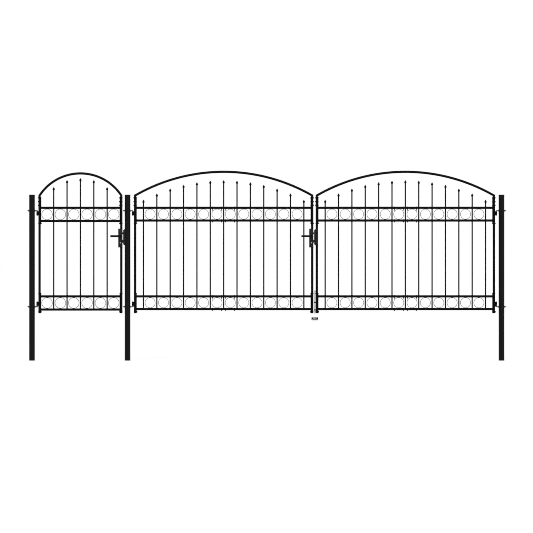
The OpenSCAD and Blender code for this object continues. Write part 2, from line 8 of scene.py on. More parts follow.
import bmesh
import bpy
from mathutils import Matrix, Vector


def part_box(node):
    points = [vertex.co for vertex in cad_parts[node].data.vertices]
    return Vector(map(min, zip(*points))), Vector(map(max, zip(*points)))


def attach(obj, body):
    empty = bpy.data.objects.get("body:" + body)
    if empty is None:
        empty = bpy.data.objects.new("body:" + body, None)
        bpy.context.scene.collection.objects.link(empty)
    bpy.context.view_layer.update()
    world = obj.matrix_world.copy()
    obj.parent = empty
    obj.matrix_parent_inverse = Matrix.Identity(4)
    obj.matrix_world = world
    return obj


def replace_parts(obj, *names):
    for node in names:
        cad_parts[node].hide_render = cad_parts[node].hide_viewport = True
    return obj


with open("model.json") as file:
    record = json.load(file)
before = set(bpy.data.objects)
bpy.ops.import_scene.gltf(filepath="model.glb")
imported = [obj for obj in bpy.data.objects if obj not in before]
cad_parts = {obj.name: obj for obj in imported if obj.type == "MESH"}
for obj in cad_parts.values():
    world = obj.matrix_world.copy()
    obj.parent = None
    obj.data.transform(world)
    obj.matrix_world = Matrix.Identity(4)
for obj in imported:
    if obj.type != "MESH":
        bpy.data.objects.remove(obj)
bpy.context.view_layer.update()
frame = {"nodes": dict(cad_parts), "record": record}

X_AXIS = Vector((1, 0, 0))
Y_AXIS = Vector((0, 1, 0))
Z_AXIS = Vector((0, 0, 1))

# Sizes of the solids that the pieces here sit on
POST_R = 0.030
POST_H = 1.740
POST_X = (-1.008, 0.0, 3.945)
STILE_R = 0.0125
STILE_FOOT = 0.499
SPRING_Z = 1.741
RAIL_HALF = 0.012
TOP_RAIL_Z = 1.611
LOW_RAIL_Z = 0.677
PLATE_FACE = 0.0169
PLATE_BACK = 0.011
PLATE_TAIL = 0.023
PLATE_TOP = 1.726
PICKET_R = 0.007
FINIAL_R = 0.0125
PIN_R = 0.005
EYE_H = 0.0435
UPPER_BOLT_Z = 1.581
LOWER_BOLT_Z = 0.5675
NUT_H = 0.008
BOLT_STUB = 0.018
CASE_Z = 1.193
CASE_TOP = 1.391
CASE_HALF_DEPTH = 0.020
CASE_BACK = -0.0315
LEVER_X = -0.010
LEVER_Z = 1.312
LEVER_LENGTH = 0.105
LEVER_OUT = 0.026
KEY_X = -0.008
KEY_Z = 1.242
KEY_OUT = 0.003
KEY_R = 0.0075
BOLT_TAIL = -0.020
BOLT_NOSE = 0.0196
LATCH_Z = 1.342
LATCH_HALF = 0.010
DEAD_FOOT = 1.243
DEAD_TOP = 1.273
DEAD_TAIL_FOOT = 1.251
DEAD_HEAD_X = 0.001
KEEPER_Z = 1.216
KEEPER_TOP = 1.385
KEEPER_HALF_DEPTH = 0.019
ROD_X = 1.976
ROD_R = 0.006
GUIDE_Z = (0.614, 0.534)
GROUND_Z = 0.424
PLATE_H = 0.006
SOCKET_TOP = 0.457
STOP_OFFSET = 0.0255
STOP_R = 0.010


class Leaf:
    """One leaf's own measures: its stiles with their way to the middle, pickets, rings, arch and hinge."""

    def __init__(self, name, x0, x1, pickets, end_share, ring_gap, rise, tips, hinge_x, end_rings):
        self.name = name
        self.body = name + "_leaf"
        self.x0 = x0
        self.x1 = x1
        self.stiles = ((x0, 1), (x1, -1))
        self.rise = rise
        self.tip_drop, self.tip_fall = tips
        self.hinge_x = hinge_x
        pitch = (x1 - x0) / (pickets - 1 + 2 * end_share)
        self.picket_x = [x0 + (i + end_share) * pitch for i in range(pickets)]
        self.ring = pitch - 2 * PICKET_R - 2 * ring_gap
        band = self.ring + 2 * RAIL_HALF
        self.rails = [LOW_RAIL_Z - band, LOW_RAIL_Z, TOP_RAIL_Z - band, TOP_RAIL_Z]
        mids = [(a + b) / 2 for a, b in zip(self.picket_x, self.picket_x[1:])]
        if end_rings:
            mids.append((x0 + PLATE_FACE + self.picket_x[0] - PICKET_R) / 2)
            mids.append((x1 - PLATE_FACE + self.picket_x[-1] + PICKET_R) / 2)
        self.ring_x = mids

    def arch_radius(self):
        half = (self.x1 - self.x0) / 2
        return (half * half + self.rise * self.rise) / (2 * self.rise)

    def arch_z(self, x):
        radius = self.arch_radius()
        away = x - (self.x0 + self.x1) / 2
        return SPRING_Z + self.rise - radius + math.sqrt(radius * radius - away * away)

    def tip_z(self, x):
        """Centre of the finial's bulb, in a line that falls further below the arch towards the stiles."""
        share = (2 * x - self.x0 - self.x1) / (self.x1 - self.x0)
        return self.arch_z(x) - self.tip_drop - self.tip_fall * share ** 4

    def mitre_slope(self):
        """Drop of the mitre for each metre out from a stile's axis towards the leaf."""
        spring = math.asin((self.x1 - self.x0) / 2 / self.arch_radius())
        return 1 / math.tan((math.pi / 2 + spring) / 2)


PEDESTRIAN = Leaf("pedestrian", -0.928, -0.066, 5, 1.057, 0.006, 0.233, (0.072, 0.058), -0.9515, True)
LEFT = Leaf("left", 0.080, 1.948, 13, 0.624, 0.0085, 0.250, (0.111, 0.006), 0.0565, False)
RIGHT = Leaf("right", 1.997, 3.865, 13, 0.624, 0.0085, 0.250, (0.111, 0.006), 3.8885, False)
LEAVES = (PEDESTRIAN, LEFT, RIGHT)
LOCKS = (("pedestrian", PEDESTRIAN), ("driveway", LEFT))


# Shader node groups

def new_group(name, inputs, outputs):
    tree = bpy.data.node_groups.new(name, "ShaderNodeTree")
    for label, kind, value in inputs:
        socket = tree.interface.new_socket(label, in_out="INPUT", socket_type=kind)
        socket.default_value = value
    for label, kind in outputs:
        tree.interface.new_socket(label, in_out="OUTPUT", socket_type=kind)
    entry = tree.nodes.new("NodeGroupInput")
    leave = tree.nodes.new("NodeGroupOutput")
    return tree, entry.outputs, leave.inputs


def noise(tree, coordinate, scale, detail=2.0, roughness=0.5):
    node = tree.nodes.new("ShaderNodeTexNoise")
    node.inputs["Detail"].default_value = detail
    node.inputs["Roughness"].default_value = roughness
    tree.links.new(coordinate, node.inputs["Vector"])
    if isinstance(scale, (int, float)):
        node.inputs["Scale"].default_value = scale
    else:
        tree.links.new(scale, node.inputs["Scale"])
    return node.outputs["Fac"]


def map_range(tree, value, low, high, to_low, to_high):
    node = tree.nodes.new("ShaderNodeMapRange")
    for socket, given in zip(node.inputs[:5], (value, low, high, to_low, to_high)):
        if isinstance(given, (int, float)):
            socket.default_value = given
        else:
            tree.links.new(given, socket)
    return node.outputs["Result"]


def maths(tree, operation, *values):
    node = tree.nodes.new("ShaderNodeMath")
    node.operation = operation
    for socket, given in zip(node.inputs, values):
        if isinstance(given, (int, float)):
            socket.default_value = given
        else:
            tree.links.new(given, socket)
    return node.outputs["Value"]


def mix_colour(tree, factor, first, second):
    node = tree.nodes.new("ShaderNodeMix")
    node.data_type = "RGBA"
    sockets = {socket.identifier: socket for socket in node.inputs}
    tree.links.new(factor, sockets["Factor_Float"])
    tree.links.new(first, sockets["A_Color"])
    tree.links.new(second, sockets["B_Color"])
    return next(s for s in node.outputs if s.identifier == "Result_Color")


def make_coat_group():
    """Stoved coat: a broad drift of tone, a fine pebbled skin and a drift of gloss."""
    tree, given, out = new_group(
        "coat_skin",
        [
            ("Deep Tone", "NodeSocketColor", (0.01, 0.01, 0.01, 1)),
            ("Worn Tone", "NodeSocketColor", (0.02, 0.02, 0.02, 1)),
            ("Pebble Scale", "NodeSocketFloat", 700.0),
            ("Gloss Rough", "NodeSocketFloat", 0.45),
            ("Dull Rough", "NodeSocketFloat", 0.6),
        ],
        [
            ("Color", "NodeSocketColor"),
            ("Roughness", "NodeSocketFloat"),
            ("Height", "NodeSocketFloat"),
        ],
    )
    place = tree.nodes.new("ShaderNodeTexCoord").outputs["Object"]
    drift = noise(tree, place, 3.5, detail=4.0, roughness=0.6)
    streak = noise(tree, place, 38.0, detail=3.0)
    streak_share = 0.35
    mixed = maths(tree, "MULTIPLY_ADD", streak, streak_share, drift)
    tone = map_range(tree, mixed, 0.45, 0.95, 0.0, 1.0)
    tree.links.new(mix_colour(tree, tone, given["Deep Tone"], given["Worn Tone"]), out["Color"])
    shine = noise(tree, place, 55.0, detail=3.0)
    gloss = map_range(tree, shine, 0.3, 0.7, given["Gloss Rough"], given["Dull Rough"])
    tree.links.new(gloss, out["Roughness"])
    pebble = noise(tree, place, given["Pebble Scale"], roughness=0.45)
    tree.links.new(pebble, out["Height"])
    return tree


def make_edge_group():
    """Rubbed edges: a broken mask where a rounded normal leaves the flat one."""
    tree, given, out = new_group(
        "edge_rub",
        [
            ("Color", "NodeSocketColor", (0.01, 0.01, 0.01, 1)),
            ("Rub Tone", "NodeSocketColor", (0.05, 0.05, 0.05, 1)),
            ("Width", "NodeSocketFloat", 0.001),
            ("Amount", "NodeSocketFloat", 0.5),
        ],
        [("Color", "NodeSocketColor"), ("Normal", "NodeSocketVector")],
    )
    place = tree.nodes.new("ShaderNodeTexCoord").outputs["Object"]
    rounded = tree.nodes.new("ShaderNodeBevel")
    rounded.samples = 4
    tree.links.new(given["Width"], rounded.inputs["Radius"])
    flat = tree.nodes.new("ShaderNodeNewGeometry").outputs["Normal"]
    dot = tree.nodes.new("ShaderNodeVectorMath")
    dot.operation = "DOT_PRODUCT"
    tree.links.new(rounded.outputs["Normal"], dot.inputs[0])
    tree.links.new(flat, dot.inputs[1])
    edge = map_range(tree, dot.outputs["Value"], 0.72, 0.99, 1.0, 0.0)
    patches = noise(tree, place, 90.0, detail=4.0, roughness=0.65)
    broken = map_range(tree, patches, 0.42, 0.62, 0.0, 1.0)
    mask = maths(tree, "MULTIPLY", maths(tree, "MULTIPLY", edge, broken), given["Amount"])
    tree.links.new(mix_colour(tree, mask, given["Color"], given["Rub Tone"]), out["Color"])
    tree.links.new(rounded.outputs["Normal"], out["Normal"])
    return tree


def make_plating_group():
    """Plated metal: cloudy spangle, fine drawn lines and a drift of roughness."""
    tree, given, out = new_group(
        "plating",
        [
            ("Bright Tone", "NodeSocketColor", (0.6, 0.6, 0.6, 1)),
            ("Dull Tone", "NodeSocketColor", (0.4, 0.4, 0.4, 1)),
            ("Cloud Scale", "NodeSocketFloat", 120.0),
            ("Smooth Rough", "NodeSocketFloat", 0.3),
            ("Coarse Rough", "NodeSocketFloat", 0.5),
        ],
        [
            ("Color", "NodeSocketColor"),
            ("Roughness", "NodeSocketFloat"),
            ("Height", "NodeSocketFloat"),
        ],
    )
    place = tree.nodes.new("ShaderNodeTexCoord").outputs["Object"]
    spangle = noise(tree, place, given["Cloud Scale"], detail=4.0, roughness=0.6)
    cloud = map_range(tree, spangle, 0.35, 0.65, 0.0, 1.0)
    tree.links.new(mix_colour(tree, cloud, given["Bright Tone"], given["Dull Tone"]), out["Color"])
    rough = map_range(tree, cloud, 0.0, 1.0, given["Smooth Rough"], given["Coarse Rough"])
    tree.links.new(rough, out["Roughness"])
    drawn_lines = (2200, 2200, 160)
    stretch = tree.nodes.new("ShaderNodeMapping")
    stretch.inputs["Scale"].default_value = drawn_lines
    tree.links.new(place, stretch.inputs["Vector"])
    tree.links.new(noise(tree, stretch.outputs["Vector"], 1.0), out["Height"])
    return tree


# Materials

def grey(value, warm=0.0):
    return (value * (1 + warm), value, value * (1 - warm), 1)


def start_material(name):
    material = bpy.data.materials.new(name)
    material.use_nodes = True
    tree = material.node_tree
    return material, tree, tree.nodes["Principled BSDF"].inputs


def place_group(tree, group, **values):
    node = tree.nodes.new("ShaderNodeGroup")
    node.node_tree = group
    for label, value in values.items():
        node.inputs[label.replace("_", " ")].default_value = value
    return node


def add_bump(tree, height, normal, shader, distance, strength):
    bump = tree.nodes.new("ShaderNodeBump")
    bump.inputs["Distance"].default_value = distance
    bump.inputs["Strength"].default_value = strength
    tree.links.new(height, bump.inputs["Height"])
    if normal is not None:
        tree.links.new(normal, bump.inputs["Normal"])
    tree.links.new(bump.outputs["Normal"], shader["Normal"])


def coat_material(name, deep, worn, rub, edge_width, edge_amount, gloss, dull, specular, pebble):
    material, tree, shader = start_material(name)
    skin = place_group(tree, COAT_GROUP, Deep_Tone=grey(deep), Worn_Tone=grey(worn), Pebble_Scale=pebble,
                       Gloss_Rough=gloss, Dull_Rough=dull)
    edge = place_group(tree, EDGE_GROUP, Rub_Tone=grey(rub), Width=edge_width, Amount=edge_amount)
    tree.links.new(skin.outputs["Color"], edge.inputs["Color"])
    tree.links.new(edge.outputs["Color"], shader["Base Color"])
    tree.links.new(skin.outputs["Roughness"], shader["Roughness"])
    add_bump(tree, skin.outputs["Height"], edge.outputs["Normal"], shader, distance=0.0002, strength=0.35)
    shader["Specular IOR Level"].default_value = specular
    return material


def plated_material(name, bright, dull, warm, cloud, smooth, coarse):
    material, tree, shader = start_material(name)
    skin = place_group(tree, PLATING_GROUP, Bright_Tone=grey(bright, warm), Dull_Tone=grey(dull, warm),
                       Cloud_Scale=cloud, Smooth_Rough=smooth, Coarse_Rough=coarse)
    tree.links.new(skin.outputs["Color"], shader["Base Color"])
    tree.links.new(skin.outputs["Roughness"], shader["Roughness"])
    add_bump(tree, skin.outputs["Height"], None, shader, distance=0.0001, strength=0.25)
    shader["Metallic"].default_value = 1.0
    return material


COAT_GROUP = make_coat_group()
EDGE_GROUP = make_edge_group()
PLATING_GROUP = make_plating_group()
COATS = {
    # Deep, worn and rubbed tone, width and amount of the rubbed edges, glossy and dull roughness,
    # specular level and scale of the pebbled skin
    "post_black": (0.003, 0.005, 0.025, 0.0012, 0.4, 0.30, 0.40, 0.065, 700.0),
    "leaf_black": (0.0015, 0.003, 0.02, 0.0012, 0.5, 0.28, 0.38, 0.045, 700.0),
    "lock_black": (0.006, 0.010, 0.03, 0.0015, 0.6, 0.30, 0.42, 0.10, 700.0),
    "lever_black": (0.002, 0.004, 0.02, 0.0015, 0.4, 0.24, 0.34, 0.10, 400.0),
    "cap_black": (0.004, 0.007, 0.02, 0.0010, 0.3, 0.40, 0.50, 0.09, 1100.0),
}
PLATINGS = {
    # Bright and dull tone, warmth, scale of the clouds, smooth and coarse roughness
    "zinc": (0.62, 0.46, -0.01, 140.0, 0.30, 0.48),
    "hinge_steel": (0.09, 0.05, 0.0, 140.0, 0.34, 0.50),
    "socket_zinc": (0.28, 0.17, -0.01, 90.0, 0.42, 0.60),
    "nickel": (0.42, 0.32, 0.03, 160.0, 0.26, 0.40),
}
FINISH = {name: coat_material(name, *row) for name, row in COATS.items()}
FINISH.update((name, plated_material(name, *row)) for name, row in PLATINGS.items())


# Mesh helpers

WELD_SIDES = 6
WELD_RIPPLE = 0.12


def axes_for(axis):
    """Two directions square to an axis."""
    side = Z_AXIS if abs(axis.z) < 0.9 else X_AXIS
    first = axis.cross(side).normalized()
    return first, axis.cross(first).normalized()


def add_loop(bm, points):
    return [bm.verts.new(point) for point in points]


def bridge(bm, low, high):
    count = len(low)
    for i in range(count):
        j = (i + 1) % count
        bm.faces.new((low[i], low[j], high[j], high[i]))


def skin_over(bm, loops, closed=False):
    """Faces from loop to loop, with a face on each end or, where closed, from the last to the first."""
    for low, high in zip(loops, loops[1:]):
        bridge(bm, low, high)
    if closed:
        bridge(bm, loops[-1], loops[0])
    else:
        bm.faces.new(list(reversed(loops[0])))
        bm.faces.new(loops[-1])


def turns(count):
    """Angles of a full turn in even steps."""
    return [2 * math.pi * i / count for i in range(count)]


def circle(bm, centre, first, second, radius, sides):
    return add_loop(bm, [
        centre + (first * math.cos(a) + second * math.sin(a)) * radius for a in turns(sides)
    ])


def lathe(bm, origin, axis, profile, sides=28):
    """Turned form: profile pairs are radius and height along the axis, closed at both ends."""
    origin = Vector(origin)
    first, second = axes_for(axis)
    skin_over(bm, [
        circle(bm, origin + axis * height, first, second, radius, sides) for radius, height in profile
    ])


def dome_profile(radius, height, rim, steps=6):
    """Round-headed bolt profile: a short rim, then an elliptic crown that ends in a small flat."""
    profile = [(radius * 0.96, 0.0), (radius, rim * 0.4), (radius, rim)]
    for i in range(1, steps + 1):
        angle = math.pi / 2 * i / (steps + 0.6)
        profile.append((radius * math.cos(angle), rim + (height - rim) * math.sin(angle)))
    return profile


def dome_head(bm, origin, axis, radius, height):
    lathe(bm, origin, axis, dome_profile(radius, height, height * 0.3), 24)


def washer(bm, origin, axis, radius, height):
    bevel = height * 0.3
    lathe(bm, origin, axis, [(radius - bevel, 0.0), (radius, bevel), (radius, height - bevel),
                             (radius - bevel, height)], 28)


def hex_nut(bm, origin, axis, flats, height):
    corner = flats / math.sqrt(3)
    chamfer = corner - flats * 0.48
    lathe(bm, origin, axis, [(corner - chamfer, 0.0), (corner, chamfer * 0.6),
                             (corner, height - chamfer * 0.6), (corner - chamfer, height)], 6)


def bolt_end(bm, origin, axis, radius, height):
    lathe(bm, origin, axis, [(radius, 0.0), (radius, height - radius * 0.25), (radius * 0.75, height)], 18)


def screw_head(bm, origin, axis, radius, height):
    """Pan head with a straight slot: two half crowns with a slot between their flats."""
    origin = Vector(origin)
    first, second = axes_for(axis)
    slot = radius * 0.16
    lathe(bm, origin, axis, [(radius, 0.0), (radius, height * 0.35)], 24)
    for hand in (-1, 1):
        rings = []
        for scale, level in ((1.0, 0.35), (0.93, 0.75), (0.72, 1.0)):
            reach = radius * scale
            start = math.asin(min(1.0, slot / reach))
            points = []
            for i in range(11):
                angle = start + (math.pi - 2 * start) * i / 10
                out = first * math.cos(angle) + second * math.sin(angle) * hand
                points.append(origin + out * reach + axis * (height * level))
            rings.append(add_loop(bm, points))
        skin_over(bm, rings)


def sweep(bm, points, radius, closed=False, taper=0.0):
    """Round weld along a line of points, with a light ripple and, where open, tapered ends."""
    count = len(points)
    loops = []
    for i, point in enumerate(points):
        if closed:
            along = (points[(i + 1) % count] - points[i - 1]).normalized()
        else:
            along = (points[min(i + 1, count - 1)] - points[max(i - 1, 0)]).normalized()
        first, second = axes_for(along)
        size = radius * (1 + WELD_RIPPLE * (1 if i % 2 else -1))
        if not closed and i in (0, count - 1):
            size *= 1 - taper
        loops.append(circle(bm, point, first, second, size, WELD_SIDES))
    skin_over(bm, loops, closed)


def bead(bm, start, end, radius, step=0.004):
    """Short straight weld with ripples and drawn-out ends."""
    start = Vector(start)
    end = Vector(end)
    count = max(4, round((end - start).length / step) + 1)
    points = [start.lerp(end, i / (count - 1)) for i in range(count)]
    sweep(bm, points, radius, taper=0.55)


def stitches(bm, start, end, radius, length, space):
    """Row of short welds with even spaces, from one point to another."""
    start = Vector(start)
    end = Vector(end)
    whole = (end - start).length
    along = (end - start) / whole
    count = max(1, int((whole + space) / (length + space)))
    pitch = whole / count
    for i in range(count):
        middle = start + along * (pitch * (i + 0.5))
        half = along * (min(length, pitch * 0.7) / 2)
        bead(bm, middle - half, middle + half, radius)


def ring_bead(bm, centre, axis, reach, radius, count=20, lift=None):
    """Weld all round a bar, lift giving each point's own height along the axis."""
    centre = Vector(centre)
    first, second = axes_for(axis)
    points = []
    for angle in turns(count):
        out = first * math.cos(angle) + second * math.sin(angle)
        rise = lift(out) if lift else 0.0
        points.append(centre + out * reach + axis * rise)
    sweep(bm, points, radius, closed=True)


def thread(bm, origin, axis, length, radius, depth, pitch):
    """Screw thread as a ridge that winds along a bar and fades out at both ends."""
    origin = Vector(origin)
    first, second = axes_for(axis)
    steps = 20
    count = int(length / pitch * steps)
    rows = []
    for i in range(count + 1):
        angle = 2 * math.pi * i / steps
        out = first * math.cos(angle) + second * math.sin(angle)
        height = (length - pitch) * i / count
        fade = min(1.0, i / steps, (count - i) / steps)
        root = radius - 0.0001
        rows.append(add_loop(bm, [
            origin + axis * height + out * root,
            origin + axis * (height + pitch * 0.42) + out * (root + depth * fade),
            origin + axis * (height + pitch * 0.58) + out * (root + depth * fade),
            origin + axis * (height + pitch) + out * root,
        ]))
    skin_over(bm, rows)


def eased_prism(bm, outline, axis, low, high, bevel):
    """Prism over a flat outline, along Y or Z from low to high, with its edges eased."""
    def place(u, v, level):
        return (u, v, level) if axis is Z_AXIS else (u, level, v)

    ends = [add_loop(bm, [place(u, v, level) for u, v in outline]) for level in (low, high)]
    skin_over(bm, ends)
    edges = list(dict.fromkeys(edge for end in ends for vert in end for edge in vert.link_edges))
    bmesh.ops.bevel(bm, geom=edges, offset=bevel, segments=2, affect="EDGES", profile=0.5)


def shells(bm):
    """Groups of faces that hang together."""
    seen = set()
    for face in bm.faces:
        if face not in seen:
            seen.add(face)
            shell = [face]
            for at in shell:
                for other in (linked for edge in at.edges for linked in edge.link_faces):
                    if other not in seen:
                        seen.add(other)
                        shell.append(other)
            yield shell


def turn_outward(bm):
    """Faces every closed shell to the outside, by the sign of the volume it holds."""
    bmesh.ops.recalc_face_normals(bm, faces=bm.faces[:])
    for shell in list(shells(bm)):
        near = shell[0].verts[0].co
        volume = 0.0
        for face in shell:
            volume += (face.calc_center_median() - near).dot(face.normal) * face.calc_area()
        if volume < 0:
            bmesh.ops.reverse_faces(bm, faces=shell)


def finish_piece(name, bm, slot, body, sharp=38.0):
    """Turns a mesh under way into a named piece with its finish, riding on its body."""
    turn_outward(bm)
    limit = math.radians(sharp)
    for face in bm.faces:
        face.smooth = True
    for edge in bm.edges:
        edge.smooth = edge.calc_face_angle(math.pi) < limit
    mesh = bpy.data.meshes.new(name)
    bm.to_mesh(mesh)
    bm.free()
    piece = bpy.data.objects.new(name, mesh)
    bpy.context.scene.collection.objects.link(piece)
    mesh.materials.append(FINISH[slot])
    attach(piece, body)
    return piece


# Posts and hinges

def make_caps():
    """Moulded caps with a rolled edge, a slightly crowned top and a plug in the tube."""
    bm = bmesh.new()
    for x in POST_X:
        lathe(bm, (x, 0, POST_H), Z_AXIS, [
            (0.0270, -0.020), (0.0278, -0.018), (0.0278, 0.0), (0.0304, 0.0), (0.0310, 0.0006),
            (0.0310, 0.0060), (0.0307, 0.0074), (0.0299, 0.0086), (0.0287, 0.0093), (0.0200, 0.0097),
            (0.0100, 0.0099), (0.0020, 0.0100),
        ], 56)
    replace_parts(finish_piece("moulded_caps", bm, "cap_black", "posts"), "post_caps")


def make_hinge_hardware():
    """Threads on the hinge bolts, and a collar on each nut."""
    threads = bmesh.new()
    washers = bmesh.new()
    depth = 0.0006
    pitch = 0.0015
    for x, hand in zip(POST_X, (1, 1, -1)):
        for z in (UPPER_BOLT_Z, LOWER_BOLT_Z):
            out = X_AXIS * hand
            face = Vector((x, 0, z)) + out * (POST_R + NUT_H)
            far = Vector((x, 0, z)) - out * (POST_R + NUT_H)
            for nut_face, way, length in ((face, out, 0.012), (far, -out, BOLT_STUB - NUT_H)):
                thread(threads, nut_face, way, length, PIN_R, depth, pitch)
                washer(washers, nut_face - way * 0.0004, way, 0.0078, 0.0012)
    finish_piece("hinge_bolt_threads", threads, "hinge_steel", "posts", 60.0)
    finish_piece("hinge_bolt_collars", washers, "hinge_steel", "posts")


def make_post_keeper_welds():
    """Stitch welds down both sides of the keeper on the middle post."""
    bm = bmesh.new()
    saddle = math.sqrt(POST_R ** 2 - KEEPER_HALF_DEPTH ** 2)
    margin = 0.004
    for hand in (-1, 1):
        at = (-saddle - 0.0004, hand * KEEPER_HALF_DEPTH * 1.02)
        stitches(bm, (*at, KEEPER_Z + margin), (*at, KEEPER_TOP - margin), 0.0018, 0.03, 0.02)
    finish_piece("pedestrian_keeper_welds", bm, "lock_black", "posts")


def make_socket_stops():
    """Moulded stops on the socket's plate, each in a plated ferrule and with a sunk screw."""
    stops = bmesh.new()
    screws = bmesh.new()
    ferrules = bmesh.new()
    foot = GROUND_Z + PLATE_H
    top = SOCKET_TOP - 0.001 - foot
    sunk = top - 0.0024
    sides = 40
    for hand in (-1, 1):
        x = ROD_X + hand * STOP_OFFSET
        lathe(stops, (x, 0, foot), Z_AXIS, [
            (STOP_R - 0.0004, 0.0), (STOP_R, 0.0004), (STOP_R, top - 0.0030),
            (STOP_R - 0.0009, top - 0.0009), (STOP_R - 0.0030, top), (0.0056, top), (0.0052, top - 0.0020),
            (0.0034, sunk),
        ], sides)
        screw_head(screws, (x, 0, foot + sunk), Z_AXIS, 0.0046, 0.0016)
        lathe(ferrules, (x, 0, foot), Z_AXIS, [
            (STOP_R + 0.0003, 0.0), (STOP_R + 0.0007, 0.0004), (STOP_R + 0.0007, 0.0078),
            (STOP_R + 0.0003, 0.0082), (STOP_R - 0.0010, 0.0082),
        ], sides)
    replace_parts(finish_piece("socket_stops", stops, "cap_black", "posts"), "socket_shoulders")
    finish_piece("socket_stop_screws", screws, "socket_zinc", "posts")
    finish_piece("socket_stop_ferrules", ferrules, "socket_zinc", "posts")


# Leaves

NUT_SIDES = {
    # For each stile, the side of the upper nuts, of the single nut below them and of the foot's nut
    ("pedestrian", 0): (-1, 1, 1),
    ("pedestrian", 1): (-1, -1, -1),
    ("left", 0): (-1, 1, 1),
    ("left", 1): (1, 1, -1),
    ("right", 0): (-1, 1, 1),
    ("right", 1): (1, 1, 1),
}
UPPER_NUT_Z = (1.716, 1.675, 1.638)
SINGLE_NUT_Z = 1.447
BAND_BOLT_Z = 0.707
FOOT_NUT_Z = 0.514
# Width over the flats, height of the nut and radius of its washer
LOW_NUT = (0.0135, 0.0034, 0.0082)
FOOT_NUT = (0.0155, 0.0050, 0.0092)
SPLICE_OFFSETS = (-0.116, -0.0215, 0.0215, 0.116)
SHORT_TAIL = 0.003
LONG_TAIL = 0.013
SMOOTH_WELD = 80.0


def through_bolt(bm, x, z, inner, nut_side, nut):
    """Bolt through a stile and its end plate, inner being the way to the leaf's middle."""
    flats, height, washer_r = nut
    washer_h = 0.0014
    head_r = 0.0072
    head_h = 0.0024
    for way in (-1, 1):
        axis = X_AXIS * way
        face = Vector((x, 0, z)) + axis * (PLATE_FACE if way == inner else STILE_R)
        if way == nut_side:
            sink = 0.0 if way == inner else STILE_R - math.sqrt(STILE_R ** 2 - washer_r ** 2)
            washer(bm, face - axis * sink, axis, washer_r, washer_h + sink)
            hex_nut(bm, face + axis * washer_h, axis, flats, height)
            bolt_end(bm, face + axis * (washer_h + height - 0.0004), axis, flats * 0.31, 0.0018)
        else:
            sink = 0.0 if way == inner else head_h
            dome_head(bm, face - axis * sink, axis, head_r, head_h + sink)


def make_plate_bolts(leaf):
    """Bolts through the stiles and end plates, one below the other."""
    bm = bmesh.new()
    foot_nut = LOW_NUT if leaf is PEDESTRIAN else FOOT_NUT
    for end, (x, inner) in enumerate(leaf.stiles):
        upper, single, foot = NUT_SIDES[(leaf.name, end)]
        for z in UPPER_NUT_Z:
            through_bolt(bm, x, z, inner, upper, LOW_NUT)
        through_bolt(bm, x, SINGLE_NUT_Z, inner, single, LOW_NUT)
        through_bolt(bm, x, BAND_BOLT_Z, inner, 0, LOW_NUT)
        through_bolt(bm, x, FOOT_NUT_Z, inner, foot, foot_nut)
    finish_piece(leaf.name + "_plate_bolts", bm, "leaf_black", leaf.body)


def splice_bolt(bm, x, z, tail):
    """Upright bolt through a rail: a low head above, then a washer, a nut and a bolt end below."""
    washer_h = 0.0012
    nut_h = 0.0055
    end_r = 0.0030
    dome_head(bm, (x, 0, z + RAIL_HALF), Z_AXIS, 0.0060, 0.0022)
    foot = Vector((x, 0, z - RAIL_HALF))
    nut_foot = foot - Z_AXIS * (washer_h + nut_h)
    washer(bm, foot, -Z_AXIS, 0.0070, washer_h)
    hex_nut(bm, foot - Z_AXIS * washer_h, -Z_AXIS, 0.0100, nut_h)
    bolt_end(bm, nut_foot + Z_AXIS * 0.0002, -Z_AXIS, end_r, tail)
    if tail == LONG_TAIL:
        thread(bm, nut_foot + Z_AXIS * 0.0001, -Z_AXIS, tail - 0.001, end_r, 0.0004, 0.0010)


def make_splice_bolts(leaf):
    """Bolts through the four rails, on both sides of the leaf's middle, with long ends inside a band."""
    bm = bmesh.new()
    middle = (leaf.x0 + leaf.x1) / 2
    for z, tail in zip(leaf.rails, (SHORT_TAIL, LONG_TAIL, SHORT_TAIL, LONG_TAIL)):
        for offset in SPLICE_OFFSETS:
            splice_bolt(bm, middle + offset, z, tail)
    finish_piece(leaf.name + "_splice_bolts", bm, "leaf_black", leaf.body)


def make_picket_welds(leaf):
    """Welds round each picket at the rails, apart from the lowest face, and under its finial."""
    bm = bmesh.new()
    rail_reach = PICKET_R + 0.0007
    finial_reach = PICKET_R + 0.0003
    seat = math.sqrt(FINIAL_R ** 2 - finial_reach ** 2)
    sides = 16
    for x in leaf.picket_x:
        for i, z in enumerate(leaf.rails):
            faces = (1,) if i == 0 else (-1, 1)
            for face in faces:
                level = z + face * (RAIL_HALF + 0.0004)
                ring_bead(bm, (x, 0, level), Z_AXIS, rail_reach, 0.0014, sides)
        ring_bead(bm, (x, 0, leaf.tip_z(x) - seat), Z_AXIS, finial_reach, 0.0009, sides)
    finish_piece(leaf.name + "_picket_welds", bm, "leaf_black", leaf.body, SMOOTH_WELD)


def make_ring_welds(leaf):
    """Short welds on both edges of each ring, where it meets the rails above and below."""
    bm = bmesh.new()
    reach = leaf.ring / 2 - 0.0006
    half_long = 0.007
    out = 0.0062
    for x in leaf.ring_x:
        for low, high in ((leaf.rails[0], leaf.rails[1]), (leaf.rails[2], leaf.rails[3])):
            for z in ((low + high) / 2 - reach, (low + high) / 2 + reach):
                for y in (-out, out):
                    bead(bm, (x - half_long, y, z), (x + half_long, y, z), 0.0014, 0.0035)
    finish_piece(leaf.name + "_ring_welds", bm, "leaf_black", leaf.body, SMOOTH_WELD)


